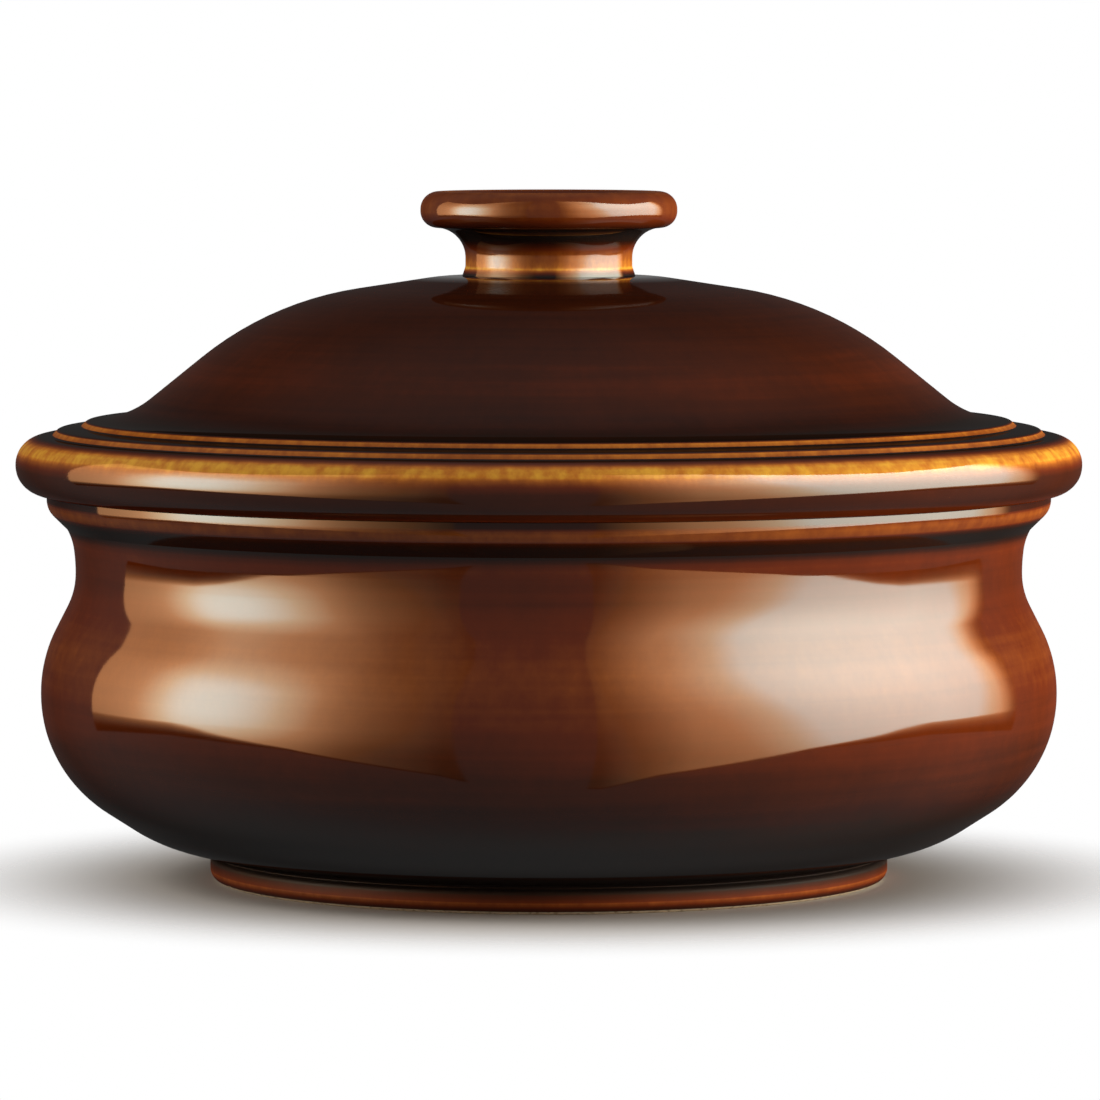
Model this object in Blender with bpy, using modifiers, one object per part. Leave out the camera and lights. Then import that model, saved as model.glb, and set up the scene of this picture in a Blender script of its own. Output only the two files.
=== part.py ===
"""Glazed stoneware stew pot with a lift-off lid and a knob luted onto the lid.

Every piece is turned about the Z axis. Lengths are in metres, and the pot stands on the XY plane.
"""

import math

import bpy
from mathutils import Vector

MM = 0.001

# Facets of the turned surfaces
TURN_STEPS = 44
KNOB_TURN_STEPS = 36
FACET_ANGLE = math.radians(16.0)
MOST_FACETS = 4
MERGE_DISTANCE = 0.01 * MM
LEG_USED = 0.98  # the most of a leg that the roundings at its two ends may take up

# Fits between the pieces
SEAT_GAP = 0.3 * MM  # between faces that rest on one another
FLANGE_CLEARANCE = 1.2 * MM  # loose fit of the lid's flange in the pot's mouth

# Pot: the foot ring that it stands on
FOOT_RADIUS = 44.6 * MM
FOOT_HEIGHT = 3.4 * MM
FOOT_WIDTH = 6.2 * MM
FOOT_EDGE_ROUND = 1.6 * MM
FOOT_BEAD_ROUND = 1.3 * MM
FOOT_BEAD_DROP = 0.3 * MM  # the bead's top lies this far below the crease behind it
FOOT_CREASE = 1.0 * MM  # depth of the crease between the bead and the belly
FOOT_INNER_ROUND = 1.0 * MM
FOOT_RECESS = 2.4 * MM  # depth of the hollow inside the ring
FOOT_RECESS_SLOPE = 1.2 * MM

# Pot: the belly rises from the foot, and the collar, neck and shoulder hang from the rim
POT_HEIGHT = 50.7 * MM  # from the table up to the rim
UNDERSIDE_RUN = 8.9 * MM
UNDERSIDE_RISE = 2.3 * MM
UNDERSIDE_ROUND = 19.0 * MM
FLANK_RISE = 9.2 * MM
FLANK_ROUND = 17.9 * MM
BELLY_SWELL = 4.6 * MM  # the belly stands out from the neck by this much
SHOULDER_RISE = 9.0 * MM
SHOULDER_ROUND = 18.2 * MM
NECK_RADIUS = 62.15 * MM
NECK_BAND = 3.9 * MM
NECK_LOW_ROUND = 9.9 * MM
NECK_HIGH_ROUND = 22.0 * MM
NECK_LEAN = 0.36 * MM
NECK_LEAN_RISE = 2.8 * MM
NECK_FLARE = 0.73 * MM
NECK_FLARE_RISE = 1.5 * MM
NECK_FLARE_ROUND = 8.5 * MM
COLLAR_OUT = 3.75 * MM  # the collar stands out from the neck by this much
COLLAR_BEAD_RISE = 2.6 * MM
COLLAR_BEAD_ROUND = 2.8 * MM
COLLAR_HEIGHT = 4.3 * MM
CREASE_ROUND = 0.25 * MM
RIM_EDGE_ROUND = 0.35 * MM
MOUTH_EDGE_ROUND = 1.2 * MM

# Pot: thickness of the walls and of the floor
WALL = 4.6 * MM
FLOOR_THICKNESS = 5.2 * MM
FLOOR_ROUND = 24.0 * MM

# Lid: the rolled rim, the two steps above it and the dome
LID_OVERHANG = 4.05 * MM  # the lid's rim stands out from the collar by this much
LID_RIM_THICKNESS = 7.5 * MM
LID_RIM_SHOULDER = 4.7 * MM
STEP_LEAN = 0.85 * MM
STEP_ROUND = 0.8 * MM
STEP_FOOT_ROUND = 0.6 * MM
OUTER_STEP_RISE = 0.9 * MM
OUTER_TREAD = 2.95 * MM
OUTER_TREAD_RISE = 0.3 * MM
INNER_STEP_RISE = 0.8 * MM
INNER_TREAD = 4.85 * MM
DOME_FLARE_ROUND = 12.5 * MM
DOME_FLANK_RUN = 19.1 * MM
DOME_FLANK_RISE = 15.4 * MM
DOME_SHOULDER_ROUND = 42.5 * MM
CROWN_RISE = 3.5 * MM
CROWN_ROUND = 30.0 * MM
CROWN_MARGIN = 3.0 * MM  # the flat crown reaches past the knob's stem by this much
LID_WALL = 4.6 * MM

# Lid: the flange that drops into the mouth
FLANGE_THICKNESS = 4.2 * MM
FLANGE_DEPTH = 6.0 * MM
FLANGE_EDGE_ROUND = 1.4 * MM
FLANGE_ROOT_ROUND = 0.6 * MM
DOME_INNER_ROUND = 6.0 * MM

# Knob: the stem, the cove under the grip and the dished grip
KNOB_HEIGHT = 10.75 * MM
KNOB_RADIUS = 16.85 * MM
GRIP_THICKNESS = 4.65 * MM
GRIP_UNDERCUT = 0.3 * MM  # the underside falls towards the stem by this much
CREST_INSET = 3.6 * MM
CREST_ROUND = 1.0 * MM
DISH_DEPTH = 0.9 * MM
DISH_SLOPE = 4.0 * MM
DISH_ROUND = 6.0 * MM
STEM_RADIUS = 10.95 * MM
STEM_COVE_ROUND = 4.2 * MM
STEM_FLARE = 0.4 * MM
STEM_FLARE_RISE = 0.9 * MM
STEM_FLARE_ROUND = 1.0 * MM

# Colours as the glaze shows them: two hex digits each of red, green and blue
POT_BROWN = "5C2E18"
LID_BROWN = "42241B"
KNOB_BROWN = "804620"
GLAZE_ROUGHNESS = 0.08


def clear_scene():
    """Remove every object, mesh and collection that the file starts with."""
    for item in list(bpy.data.objects):
        bpy.data.objects.remove(item, do_unlink=True)
    for group in list(bpy.data.collections):
        bpy.data.collections.remove(group)


def corner(radius, height, rounding=0.0):
    """Return a corner of a turned outline: its place and the radius that rounds it."""
    return Vector((radius, height)), rounding


def heading(start, end):
    """Return the angle of the leg from start to end."""
    return math.atan2(end.y - start.y, end.x - start.x)


def inset_leg(start, end, distance):
    """Return both ends of a leg moved to its left by distance."""
    aside = (end - start).normalized().orthogonal() * distance
    return start + aside, end + aside


def meet(leg, other):
    """Return the point where the lines through two legs cross."""
    along = leg[1] - leg[0]
    across = other[1] - other[0]
    share = (other[0] - leg[0]).cross(across) / along.cross(across)
    return leg[0] + along * share


def level(height):
    """Return a leg that runs inwards at one height."""
    return Vector((1.0, height)), Vector((0.0, height))


def plumb(radius):
    """Return a leg that runs upwards at one radius."""
    return Vector((radius, 0.0)), Vector((radius, 1.0))


def turn_at(before, point, after):
    """Return the signed angle by which an outline turns at a point."""
    turn = heading(point, after) - heading(before, point)
    return (turn + math.pi) % (2.0 * math.pi) - math.pi


def arc_points(before, point, turn, tangent):
    """Return points of the arc that takes an outline round a corner.

    The arc starts at the distance tangent before the corner and turns by the angle turn.
    """
    ahead = (point - before).normalized()
    radius = tangent / math.tan(abs(turn) / 2.0)
    aside = ahead.orthogonal() * math.copysign(radius, turn)
    start = point - ahead * tangent
    centre = start + aside
    facets = max(2, min(MOST_FACETS, math.ceil(abs(turn) / FACET_ANGLE)))
    points = []
    for index in range(facets + 1):
        angle = turn * index / facets
        spoke = start - centre
        turned = Vector((
            spoke.x * math.cos(angle) - spoke.y * math.sin(angle),
            spoke.x * math.sin(angle) + spoke.y * math.cos(angle),
        ))
        points.append(centre + turned)
    return points


def rounded_outline(corners):
    """Return the points of an outline with an arc at each rounded corner.

    A rounding that asks for more than its two legs hold is limited to what they hold.
    """
    points = [place for place, _ in corners]
    turns = [0.0] * len(points)
    tangents = [0.0] * len(points)
    for index in range(1, len(points) - 1):
        turns[index] = turn_at(*points[index - 1:index + 2])
        tangents[index] = corners[index][1] * abs(math.tan(turns[index] / 2.0))
    shares = [1.0] * len(points)
    for index in range(len(points) - 1):
        leg = (points[index + 1] - points[index]).length
        asked = tangents[index] + tangents[index + 1]
        share = min(1.0, LEG_USED * leg / asked) if asked else 1.0
        shares[index] = min(shares[index], share)
        shares[index + 1] = min(shares[index + 1], share)
    outline = []
    for index, point in enumerate(points):
        tangent = tangents[index] * shares[index]
        if tangent > MERGE_DISTANCE:
            outline += arc_points(points[index - 1], point, turns[index], tangent)
        else:
            outline.append(point)
    return outline


def glaze(name, colour):
    """Return a glossy glaze material of one colour."""
    material = bpy.data.materials.new(name)
    material.use_nodes = True
    shader = material.node_tree.nodes["Principled BSDF"]
    parts = [part / 255.0 for part in bytes.fromhex(colour)]
    linear = [((part + 0.055) / 1.055) ** 2.4 for part in parts]
    shader.inputs["Base Color"].default_value = (*linear, 1.0)
    shader.inputs["Roughness"].default_value = GLAZE_ROUGHNESS
    shader.inputs["Metallic"].default_value = 0.0
    return material


def turned(name, corners, steps, material, collection):
    """Turn an outline about Z into a closed piece.

    The outline runs from the axis over the top, down the outer side and back to the axis.
    """
    outline = rounded_outline(corners)
    verts = [(point.x, 0.0, point.y) for point in outline]
    edges = [(index, index + 1) for index in range(len(verts) - 1)]
    mesh = bpy.data.meshes.new(name)
    mesh.from_pydata(verts, edges, [])
    mesh.materials.append(material)
    piece = bpy.data.objects.new(name, mesh)
    collection.objects.link(piece)
    screw = piece.modifiers.new("turn", "SCREW")
    screw.axis = "Z"
    screw.angle = 2.0 * math.pi
    screw.steps = steps
    screw.render_steps = steps
    screw.use_merge_vertices = True
    screw.merge_threshold = MERGE_DISTANCE
    screw.use_smooth_shade = True
    return piece


# Outer corners of the pot: from the foot up, then from the rim down
foot_crease = Vector((FOOT_RADIUS - FOOT_CREASE, FOOT_HEIGHT))
underside_edge = foot_crease + Vector((UNDERSIDE_RUN, UNDERSIDE_RISE))
belly_low = Vector((NECK_RADIUS + BELLY_SWELL, underside_edge.y + FLANK_RISE))
collar_crease = Vector((NECK_RADIUS + NECK_LEAN + NECK_FLARE, POT_HEIGHT - COLLAR_HEIGHT))
collar_bead = Vector((NECK_RADIUS + COLLAR_OUT, collar_crease.y + COLLAR_BEAD_RISE))
flare_foot = collar_crease - Vector((NECK_FLARE, NECK_FLARE_RISE))
neck_high = flare_foot - Vector((NECK_LEAN, NECK_LEAN_RISE))
neck_low = neck_high - Vector((0.0, NECK_BAND))
belly_high = Vector((belly_low.x, neck_low.y - SHOULDER_RISE))
mouth_radius = NECK_RADIUS - WALL

# Lid heights are measured from its seat face
lid_rim_radius = NECK_RADIUS + COLLAR_OUT + LID_OVERHANG
outer_step_foot = Vector((lid_rim_radius - LID_RIM_SHOULDER, LID_RIM_THICKNESS))
outer_step = outer_step_foot + Vector((-STEP_LEAN, OUTER_STEP_RISE))
inner_step_foot = outer_step + Vector((-OUTER_TREAD, OUTER_TREAD_RISE))
inner_step = inner_step_foot + Vector((-STEP_LEAN, INNER_STEP_RISE))
dome_foot = inner_step - Vector((INNER_TREAD, 0.0))
dome_shoulder = dome_foot + Vector((-DOME_FLANK_RUN, DOME_FLANK_RISE))
crown_edge = Vector((STEM_RADIUS + CROWN_MARGIN, dome_shoulder.y + CROWN_RISE))
flange_radius = mouth_radius - FLANGE_CLEARANCE
flange_inner_radius = flange_radius - FLANGE_THICKNESS


def pot_corners():
    """Return the pot's outline: up the inside, over the rim, down the outside, under the foot."""
    floor = level(FOOT_RECESS + FLOOR_THICKNESS)
    inner_flank = inset_leg(underside_edge, belly_low, WALL)
    inner_belly = inset_leg(belly_low, belly_high, WALL)
    inner_shoulder = inset_leg(belly_high, neck_low, WALL)
    inside = [
        (floor[1], 0.0),
        (meet(floor, inner_flank), FLOOR_ROUND),
        (meet(inner_flank, inner_belly), FLANK_ROUND - WALL),
        (meet(inner_belly, inner_shoulder), SHOULDER_ROUND - WALL),
        (meet(inner_shoulder, plumb(mouth_radius)), NECK_LOW_ROUND + WALL),
        corner(mouth_radius, POT_HEIGHT, MOUTH_EDGE_ROUND),
    ]
    outside = [
        corner(collar_bead.x, POT_HEIGHT, RIM_EDGE_ROUND),
        (collar_bead, COLLAR_BEAD_ROUND),
        (collar_crease, CREASE_ROUND),
        (flare_foot, NECK_FLARE_ROUND),
        (neck_high, NECK_HIGH_ROUND),
        (neck_low, NECK_LOW_ROUND),
        (belly_high, SHOULDER_ROUND),
        (belly_low, FLANK_ROUND),
        (underside_edge, UNDERSIDE_ROUND),
        (foot_crease, CREASE_ROUND),
    ]
    foot = [
        corner(FOOT_RADIUS, FOOT_HEIGHT - FOOT_BEAD_DROP, FOOT_BEAD_ROUND),
        corner(FOOT_RADIUS, 0.0, FOOT_EDGE_ROUND),
        corner(FOOT_RADIUS - FOOT_WIDTH, 0.0, FOOT_INNER_ROUND),
        corner(FOOT_RADIUS - FOOT_WIDTH - FOOT_RECESS_SLOPE, FOOT_RECESS, FOOT_INNER_ROUND),
        corner(0.0, FOOT_RECESS),
    ]
    return inside + outside + foot


def lid_corners():
    """Return the lid's outline: over the dome, round the rim, round the flange, up the inside."""
    inner_flank = inset_leg(dome_foot, dome_shoulder, LID_WALL)
    inner_slope = inset_leg(dome_shoulder, crown_edge, LID_WALL)
    inner_crown = level(crown_edge.y - LID_WALL)
    top = [
        corner(0.0, crown_edge.y),
        (crown_edge, CROWN_ROUND),
        (dome_shoulder, DOME_SHOULDER_ROUND),
        (dome_foot, DOME_FLARE_ROUND),
        (inner_step, STEP_ROUND),
        (inner_step_foot, STEP_FOOT_ROUND),
        (outer_step, STEP_ROUND),
        (outer_step_foot, STEP_FOOT_ROUND),
    ]
    rim = [
        corner(lid_rim_radius, LID_RIM_THICKNESS, LID_RIM_THICKNESS / 2.0),
        corner(lid_rim_radius, 0.0, LID_RIM_THICKNESS / 2.0),
    ]
    flange = [
        corner(flange_radius, 0.0, FLANGE_ROOT_ROUND),
        corner(flange_radius, -FLANGE_DEPTH, FLANGE_EDGE_ROUND),
        corner(flange_inner_radius, -FLANGE_DEPTH, FLANGE_EDGE_ROUND),
    ]
    inside = [
        (meet(inner_flank, plumb(flange_inner_radius)), DOME_INNER_ROUND),
        (meet(inner_flank, inner_slope), DOME_SHOULDER_ROUND - LID_WALL),
        (meet(inner_slope, inner_crown), CROWN_ROUND - LID_WALL),
        (inner_crown[1], 0.0),
    ]
    return top + rim + flange + inside


def knob_corners():
    """Return the knob's outline: over the dish and the grip, round the cove, down the stem."""
    underside = KNOB_HEIGHT - GRIP_THICKNESS
    crest_radius = KNOB_RADIUS - CREST_INSET
    dish_height = KNOB_HEIGHT - DISH_DEPTH
    return [
        corner(0.0, dish_height),
        corner(crest_radius - DISH_SLOPE, dish_height, DISH_ROUND),
        corner(crest_radius, KNOB_HEIGHT, CREST_ROUND),
        corner(KNOB_RADIUS, KNOB_HEIGHT, GRIP_THICKNESS / 2.0),
        corner(KNOB_RADIUS, underside, GRIP_THICKNESS / 2.0),
        corner(STEM_RADIUS, underside - GRIP_UNDERCUT, STEM_COVE_ROUND),
        corner(STEM_RADIUS, STEM_FLARE_RISE, STEM_FLARE_ROUND),
        corner(STEM_RADIUS + STEM_FLARE, 0.0),
        corner(0.0, 0.0),
    ]


def main():
    """Build the pot, and the lid with its knob on an empty that lifts along the axis."""
    clear_scene()
    collection = bpy.data.collections.new("stew_pot")
    bpy.context.scene.collection.children.link(collection)

    turned("pot", pot_corners(), TURN_STEPS, glaze("pot_glaze", POT_BROWN), collection)

    lift = bpy.data.objects.new("lid_lift", None)
    lift.location = (0.0, 0.0, POT_HEIGHT + SEAT_GAP)
    collection.objects.link(lift)

    lid = turned("lid", lid_corners(), TURN_STEPS, glaze("lid_glaze", LID_BROWN), collection)
    lid.parent = lift

    knob = turned("knob", knob_corners(), KNOB_TURN_STEPS, glaze("knob_glaze", KNOB_BROWN), collection)
    knob.parent = lift
    knob.location = (0.0, 0.0, crown_edge.y + SEAT_GAP)


main()
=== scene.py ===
"""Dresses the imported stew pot: finely turned pieces, treacle glaze, studio and camera.

Sizes in the fields of the classes are in millimetres, and meshes are in metres. Heights of the pot
are measured from the surface it stands on, those of the lid from its seat, and those of the knob
from the foot of its stem.
"""

import logging
import math
from dataclasses import dataclass
from enum import Enum, IntEnum
from functools import partial
from typing import Any, Callable

import bmesh
import bpy
from bmesh.types import BMesh, BMVert
from bpy.types import Material, NodeSocket, NodeTree, Object, World
from mathutils import Matrix, Vector


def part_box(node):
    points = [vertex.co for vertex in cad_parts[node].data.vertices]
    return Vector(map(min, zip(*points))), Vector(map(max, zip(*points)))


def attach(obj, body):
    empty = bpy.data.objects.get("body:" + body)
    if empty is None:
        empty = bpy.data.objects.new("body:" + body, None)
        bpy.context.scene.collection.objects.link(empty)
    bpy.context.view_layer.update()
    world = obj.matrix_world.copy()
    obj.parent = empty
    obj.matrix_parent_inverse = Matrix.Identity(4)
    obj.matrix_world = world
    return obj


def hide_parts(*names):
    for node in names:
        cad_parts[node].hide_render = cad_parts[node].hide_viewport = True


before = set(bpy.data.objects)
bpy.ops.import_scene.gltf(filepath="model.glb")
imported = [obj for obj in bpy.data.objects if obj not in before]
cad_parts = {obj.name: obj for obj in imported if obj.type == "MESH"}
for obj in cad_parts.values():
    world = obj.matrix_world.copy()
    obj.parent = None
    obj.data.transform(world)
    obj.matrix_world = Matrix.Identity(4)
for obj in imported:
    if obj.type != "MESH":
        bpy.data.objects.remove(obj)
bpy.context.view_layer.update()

LOG = logging.getLogger("stew_pot")
MM = 0.001
MERGE = 0.002 * MM
WHITE = (1.0, 1.0, 1.0, 1.0)
FLAT = (1.0, 1.0, 0.0)  # times a place, it takes the height away
NOISE_MEAN = 0.5

AddNode = Callable[..., NodeSocket | None]
Colour = tuple[float, float, float, float]
Leg = tuple[Vector, Vector]
FilmAndShadeStop = tuple[float, float, float]
Table = tuple[tuple[float, float], ...]


def linear(code: str) -> Colour:
    """Turn an sRGB colour into linear light.

    Args:
        code: Six hex digits, red first.

    Returns:
        Red, green, blue and an alpha of 1.
    """
    parts = [int(code[start:start + 2], 16) / 255.0 for start in (0, 2, 4)]
    light = [part / 12.92 if part <= 0.04045 else ((part + 0.055) / 1.055) ** 2.4 for part in parts]
    return light[0], light[1], light[2], 1.0


def add_node(
    tree: NodeTree,
    kind: str,
    inputs: dict[str | int, Any] | None = None,
    out: str | int = 0,
    stops: list[tuple[float, Colour]] | None = None,
    **settings: Any,
) -> NodeSocket | None:
    """Add a node with its settings, its socket values and the links that lead into it.

    Args:
        tree: The node tree that gets the node.
        kind: The node's type, without the leading ShaderNode.
        inputs: For each input by name or number, a value to set or an output socket to link.
        out: The output to return, by name or number.
        stops: Positions and colours of a colour ramp.
        settings: Properties of the node itself.

    Returns:
        The output, or None if the node has no outputs.
    """
    node = tree.nodes.new("ShaderNode" + kind)
    for name, value in settings.items():
        setattr(node, name, value)
    for name, value in (inputs or {}).items():
        if isinstance(value, NodeSocket):
            tree.links.new(value, node.inputs[name])
        else:
            node.inputs[name].default_value = value
    if stops:
        elements = node.color_ramp.elements
        while len(elements) < len(stops):
            elements.new(1.0)
        for element, (position, colour) in zip(elements, stops):
            element.position = position
            element.color = colour
    return node.outputs[out] if node.outputs else None


def new_tree(holder: Material | World) -> NodeTree:
    """Empty the node tree of a material or a world.

    Args:
        holder: The material or the world.

    Returns:
        Its node tree, without nodes.
    """
    holder.use_nodes = True
    holder.node_tree.nodes.clear()
    return holder.node_tree


def inset_leg(start: Vector, end: Vector, distance: float) -> Leg:
    """Return a leg of an outline moved to its left by a distance."""
    aside = (end - start).normalized().orthogonal() * distance
    return start + aside, end + aside


def meet(leg: Leg, other: Leg) -> Vector:
    """Find where the lines through two legs cross.

    Args:
        leg: One leg.
        other: A leg that doesn't run along the first.

    Returns:
        The crossing.
    """
    along = leg[1] - leg[0]
    across = other[1] - other[0]
    share = (other[0] - leg[0]).cross(across) / along.cross(across)
    return leg[0] + along * share


def on_wire(place: Vector) -> Vector:
    """Return where a place of an outline lies in the mesh, in metres."""
    return Vector((place.x * MM, 0.0, place.y * MM))


def level(height: float) -> Leg:
    """Return a leg that runs inwards at one height."""
    return Vector((1.0, height)), Vector((0.0, height))


def plumb(radius: float) -> Leg:
    """Return a leg that runs upwards at one radius."""
    return Vector((radius, 0.0)), Vector((radius, 1.0))


@dataclass(frozen=True)
class Corner:
    """A corner of a turned outline and the radius that rounds it."""

    place: Vector
    rounding: float = 0.0


def corner(radius: float, height: float, rounding: float = 0.0) -> Corner:
    """Return a corner at a radius and a height."""
    return Corner(Vector((radius, height)), rounding)


def on_round(radius: float, height: float, roll: float, degrees: float, film_and_shade: float) -> FilmAndShadeStop:
    """Return a film stop on a round edge about a centre, at an angle above its widest line."""
    angle = math.radians(degrees)
    return radius + roll * math.cos(angle), height + roll * math.sin(angle), film_and_shade


def as_object(name: str, made: BMesh, materials: list[Material]) -> Object:
    """Make a mesh into an object of the scene.

    Args:
        name: Name of the object.
        made: Its mesh, which is used up.
        materials: What it is made of.

    Returns:
        The object.
    """
    mesh = bpy.data.meshes.new(name)
    made.to_mesh(mesh)
    made.free()
    for material in materials:
        mesh.materials.append(material)
    item = bpy.data.objects.new(name, mesh)
    bpy.context.scene.collection.objects.link(item)
    return item


@dataclass(frozen=True)
class FineTurning:
    """How finely a piece is turned: the steps round it, and what an edge of its outline may span.

    leg_used is the most of a leg that the roundings at its two ends may take up.
    """

    steps: int = 192
    arc_step: float = math.radians(3.0)
    fewest_arc_steps: int = 4
    longest_edge: float = 1.1
    leg_used: float = 0.98
    sharp_angle: float = math.radians(50.0)


class Lathe:
    """Draws an outline as a wire, lays the glaze film and its painted shade along it and turns it
    about Z.
    """

    def __init__(self, turning: FineTurning) -> None:
        """Start an empty mesh whose points carry the glaze film with its painted shade, and the run
        of the outline.

        Args:
            turning: How finely the piece is turned.
        """
        self.turning = turning
        self.mesh = bmesh.new()
        self.film_and_shade = self.mesh.verts.layers.float.new("film_and_shade")
        self.run = self.mesh.verts.layers.float.new("run")

    def fitted(self, corners: list[Corner]) -> tuple[list[float], list[float]]:
        """Work out how an outline turns at each corner, and where the rounding starts.

        Args:
            corners: The outline's corners in order.

        Returns:
            The signed turn at each corner, and the length that its rounding takes of both legs.
        """
        places = [item.place for item in corners]
        legs = [end - start for start, end in zip(places, places[1:])]
        turns = [0.0] * len(places)
        lengths = [0.0] * len(places)
        for index in range(1, len(legs)):
            turns[index] = -legs[index - 1].angle_signed(legs[index])
            lengths[index] = corners[index].rounding * abs(math.tan(turns[index] / 2.0))
        shares = [1.0] * len(places)
        for index, leg in enumerate(legs):
            asked = lengths[index] + lengths[index + 1]
            share = min(1.0, self.turning.leg_used * leg.length / asked) if asked else 1.0
            shares[index] = min(shares[index], share)
            shares[index + 1] = min(shares[index + 1], share)
        return turns, [length * share for length, share in zip(lengths, shares)]

    def draw(self, corners: list[Corner]) -> None:
        """Draw the wire: legs are extruded from the tip, and arcs are spun from it.

        Args:
            corners: The outline's corners in order, from one point on the axis to another.
        """
        turns, lengths = self.fitted(corners)
        tip = self.mesh.verts.new(on_wire(corners[0].place))
        for index in range(1, len(corners)):
            place = corners[index].place
            ahead = (place - corners[index - 1].place).normalized()
            start = place - ahead * lengths[index]
            tip = bmesh.ops.extrude_vert_indiv(self.mesh, verts=[tip])["verts"][0]
            tip.co = on_wire(start)
            if not lengths[index]:
                continue
            turn = turns[index]
            radius = lengths[index] / math.tan(abs(turn) / 2.0)
            centre = start + ahead.orthogonal() * math.copysign(radius, turn)
            spun = bmesh.ops.spin(
                self.mesh,
                geom=[tip],
                cent=on_wire(centre),
                axis=(0.0, -math.copysign(1.0, turn), 0.0),
                angle=abs(turn),
                steps=max(
                    self.turning.fewest_arc_steps, math.ceil(abs(turn) / self.turning.arc_step)
                ),
            )
            tip = [item for item in spun["geom_last"] if isinstance(item, BMVert)][0]
        self.refine()

    def refine(self) -> None:
        """Cut every edge of the wire that is longer than the film can vary along."""
        longest = self.turning.longest_edge * MM
        for edge in list(self.mesh.edges):
            cuts = math.ceil(edge.calc_length() / longest) - 1
            if cuts > 0:
                bmesh.ops.subdivide_edges(self.mesh, edges=[edge], cuts=cuts)

    def walk(self, corners: list[Corner]) -> list[BMVert]:
        """Follow the wire and set the run of its points.

        Args:
            corners: The outline's corners in order.

        Returns:
            The wire's points in order from the first corner.
        """
        first = on_wire(corners[0].place)
        ends = [vert for vert in self.mesh.verts if len(vert.link_edges) == 1]
        tip = min(ends, key=lambda vert: (vert.co - first).length)
        chain = [tip]
        edge = tip.link_edges[0]
        while True:
            after = edge.other_vert(tip)
            after[self.run] = tip[self.run] + edge.calc_length()
            chain.append(after)
            tip = after
            onward = [item for item in tip.link_edges if item is not edge]
            if not onward:
                return chain
            edge = onward[0]

    def lay_film_and_shade(self, corners: list[Corner], stops: list[FilmAndShadeStop]) -> None:
        """Lay the glaze film along the wire, straight between the stops.

        Args:
            corners: The outline's corners in order.
            stops: Radius, height and film thickness, painted shade included, at points of the
                outline.
        """
        chain = self.walk(corners)
        marks = []
        for radius, height, film_and_shade in stops:
            place = on_wire(Vector((radius, height)))
            nearest = min(chain, key=lambda vert: (vert.co - place).length)
            marks.append((nearest[self.run], film_and_shade))
        marks.sort()
        marks = [(-1.0, marks[0][1])] + marks + [(chain[-1][self.run] + 1.0, marks[-1][1])]
        at = 0
        for vert in chain:
            while marks[at + 1][0] < vert[self.run]:
                at += 1
            (low, thin), (high, thick) = marks[at], marks[at + 1]
            share = (vert[self.run] - low) / max(high - low, MERGE)
            vert[self.film_and_shade] = thin + (thick - thin) * share

    def turn(self) -> BMesh:
        """Turn the wire about Z into a closed, smooth mesh that faces outwards.

        Returns:
            The mesh, whose points still carry the film and the run.
        """
        bmesh.ops.spin(
            self.mesh,
            geom=self.mesh.verts[:] + self.mesh.edges[:],
            cent=(0.0, 0.0, 0.0),
            axis=(0.0, 0.0, 1.0),
            angle=2.0 * math.pi,
            steps=self.turning.steps,
            use_merge=True,
        )
        bmesh.ops.remove_doubles(self.mesh, verts=self.mesh.verts[:], dist=MERGE)
        bmesh.ops.recalc_face_normals(self.mesh, faces=self.mesh.faces[:])
        for face in self.mesh.faces:
            face.smooth = True
        for edge in self.mesh.edges:
            edge.smooth = edge.calc_face_angle(0.0) < self.turning.sharp_angle
        return self.mesh


class FilmAndShade(float, Enum):
    """How thick the glaze lies, with painted shade laid into it: amber where it breaks, brown as
    dipped, near black in a pool and where shade is painted.
    """

    BROKEN = 0.0
    DIPPED = 1.0
    HEAVY = 1.5
    POOLED_AND_SHADED = 2.0


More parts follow.
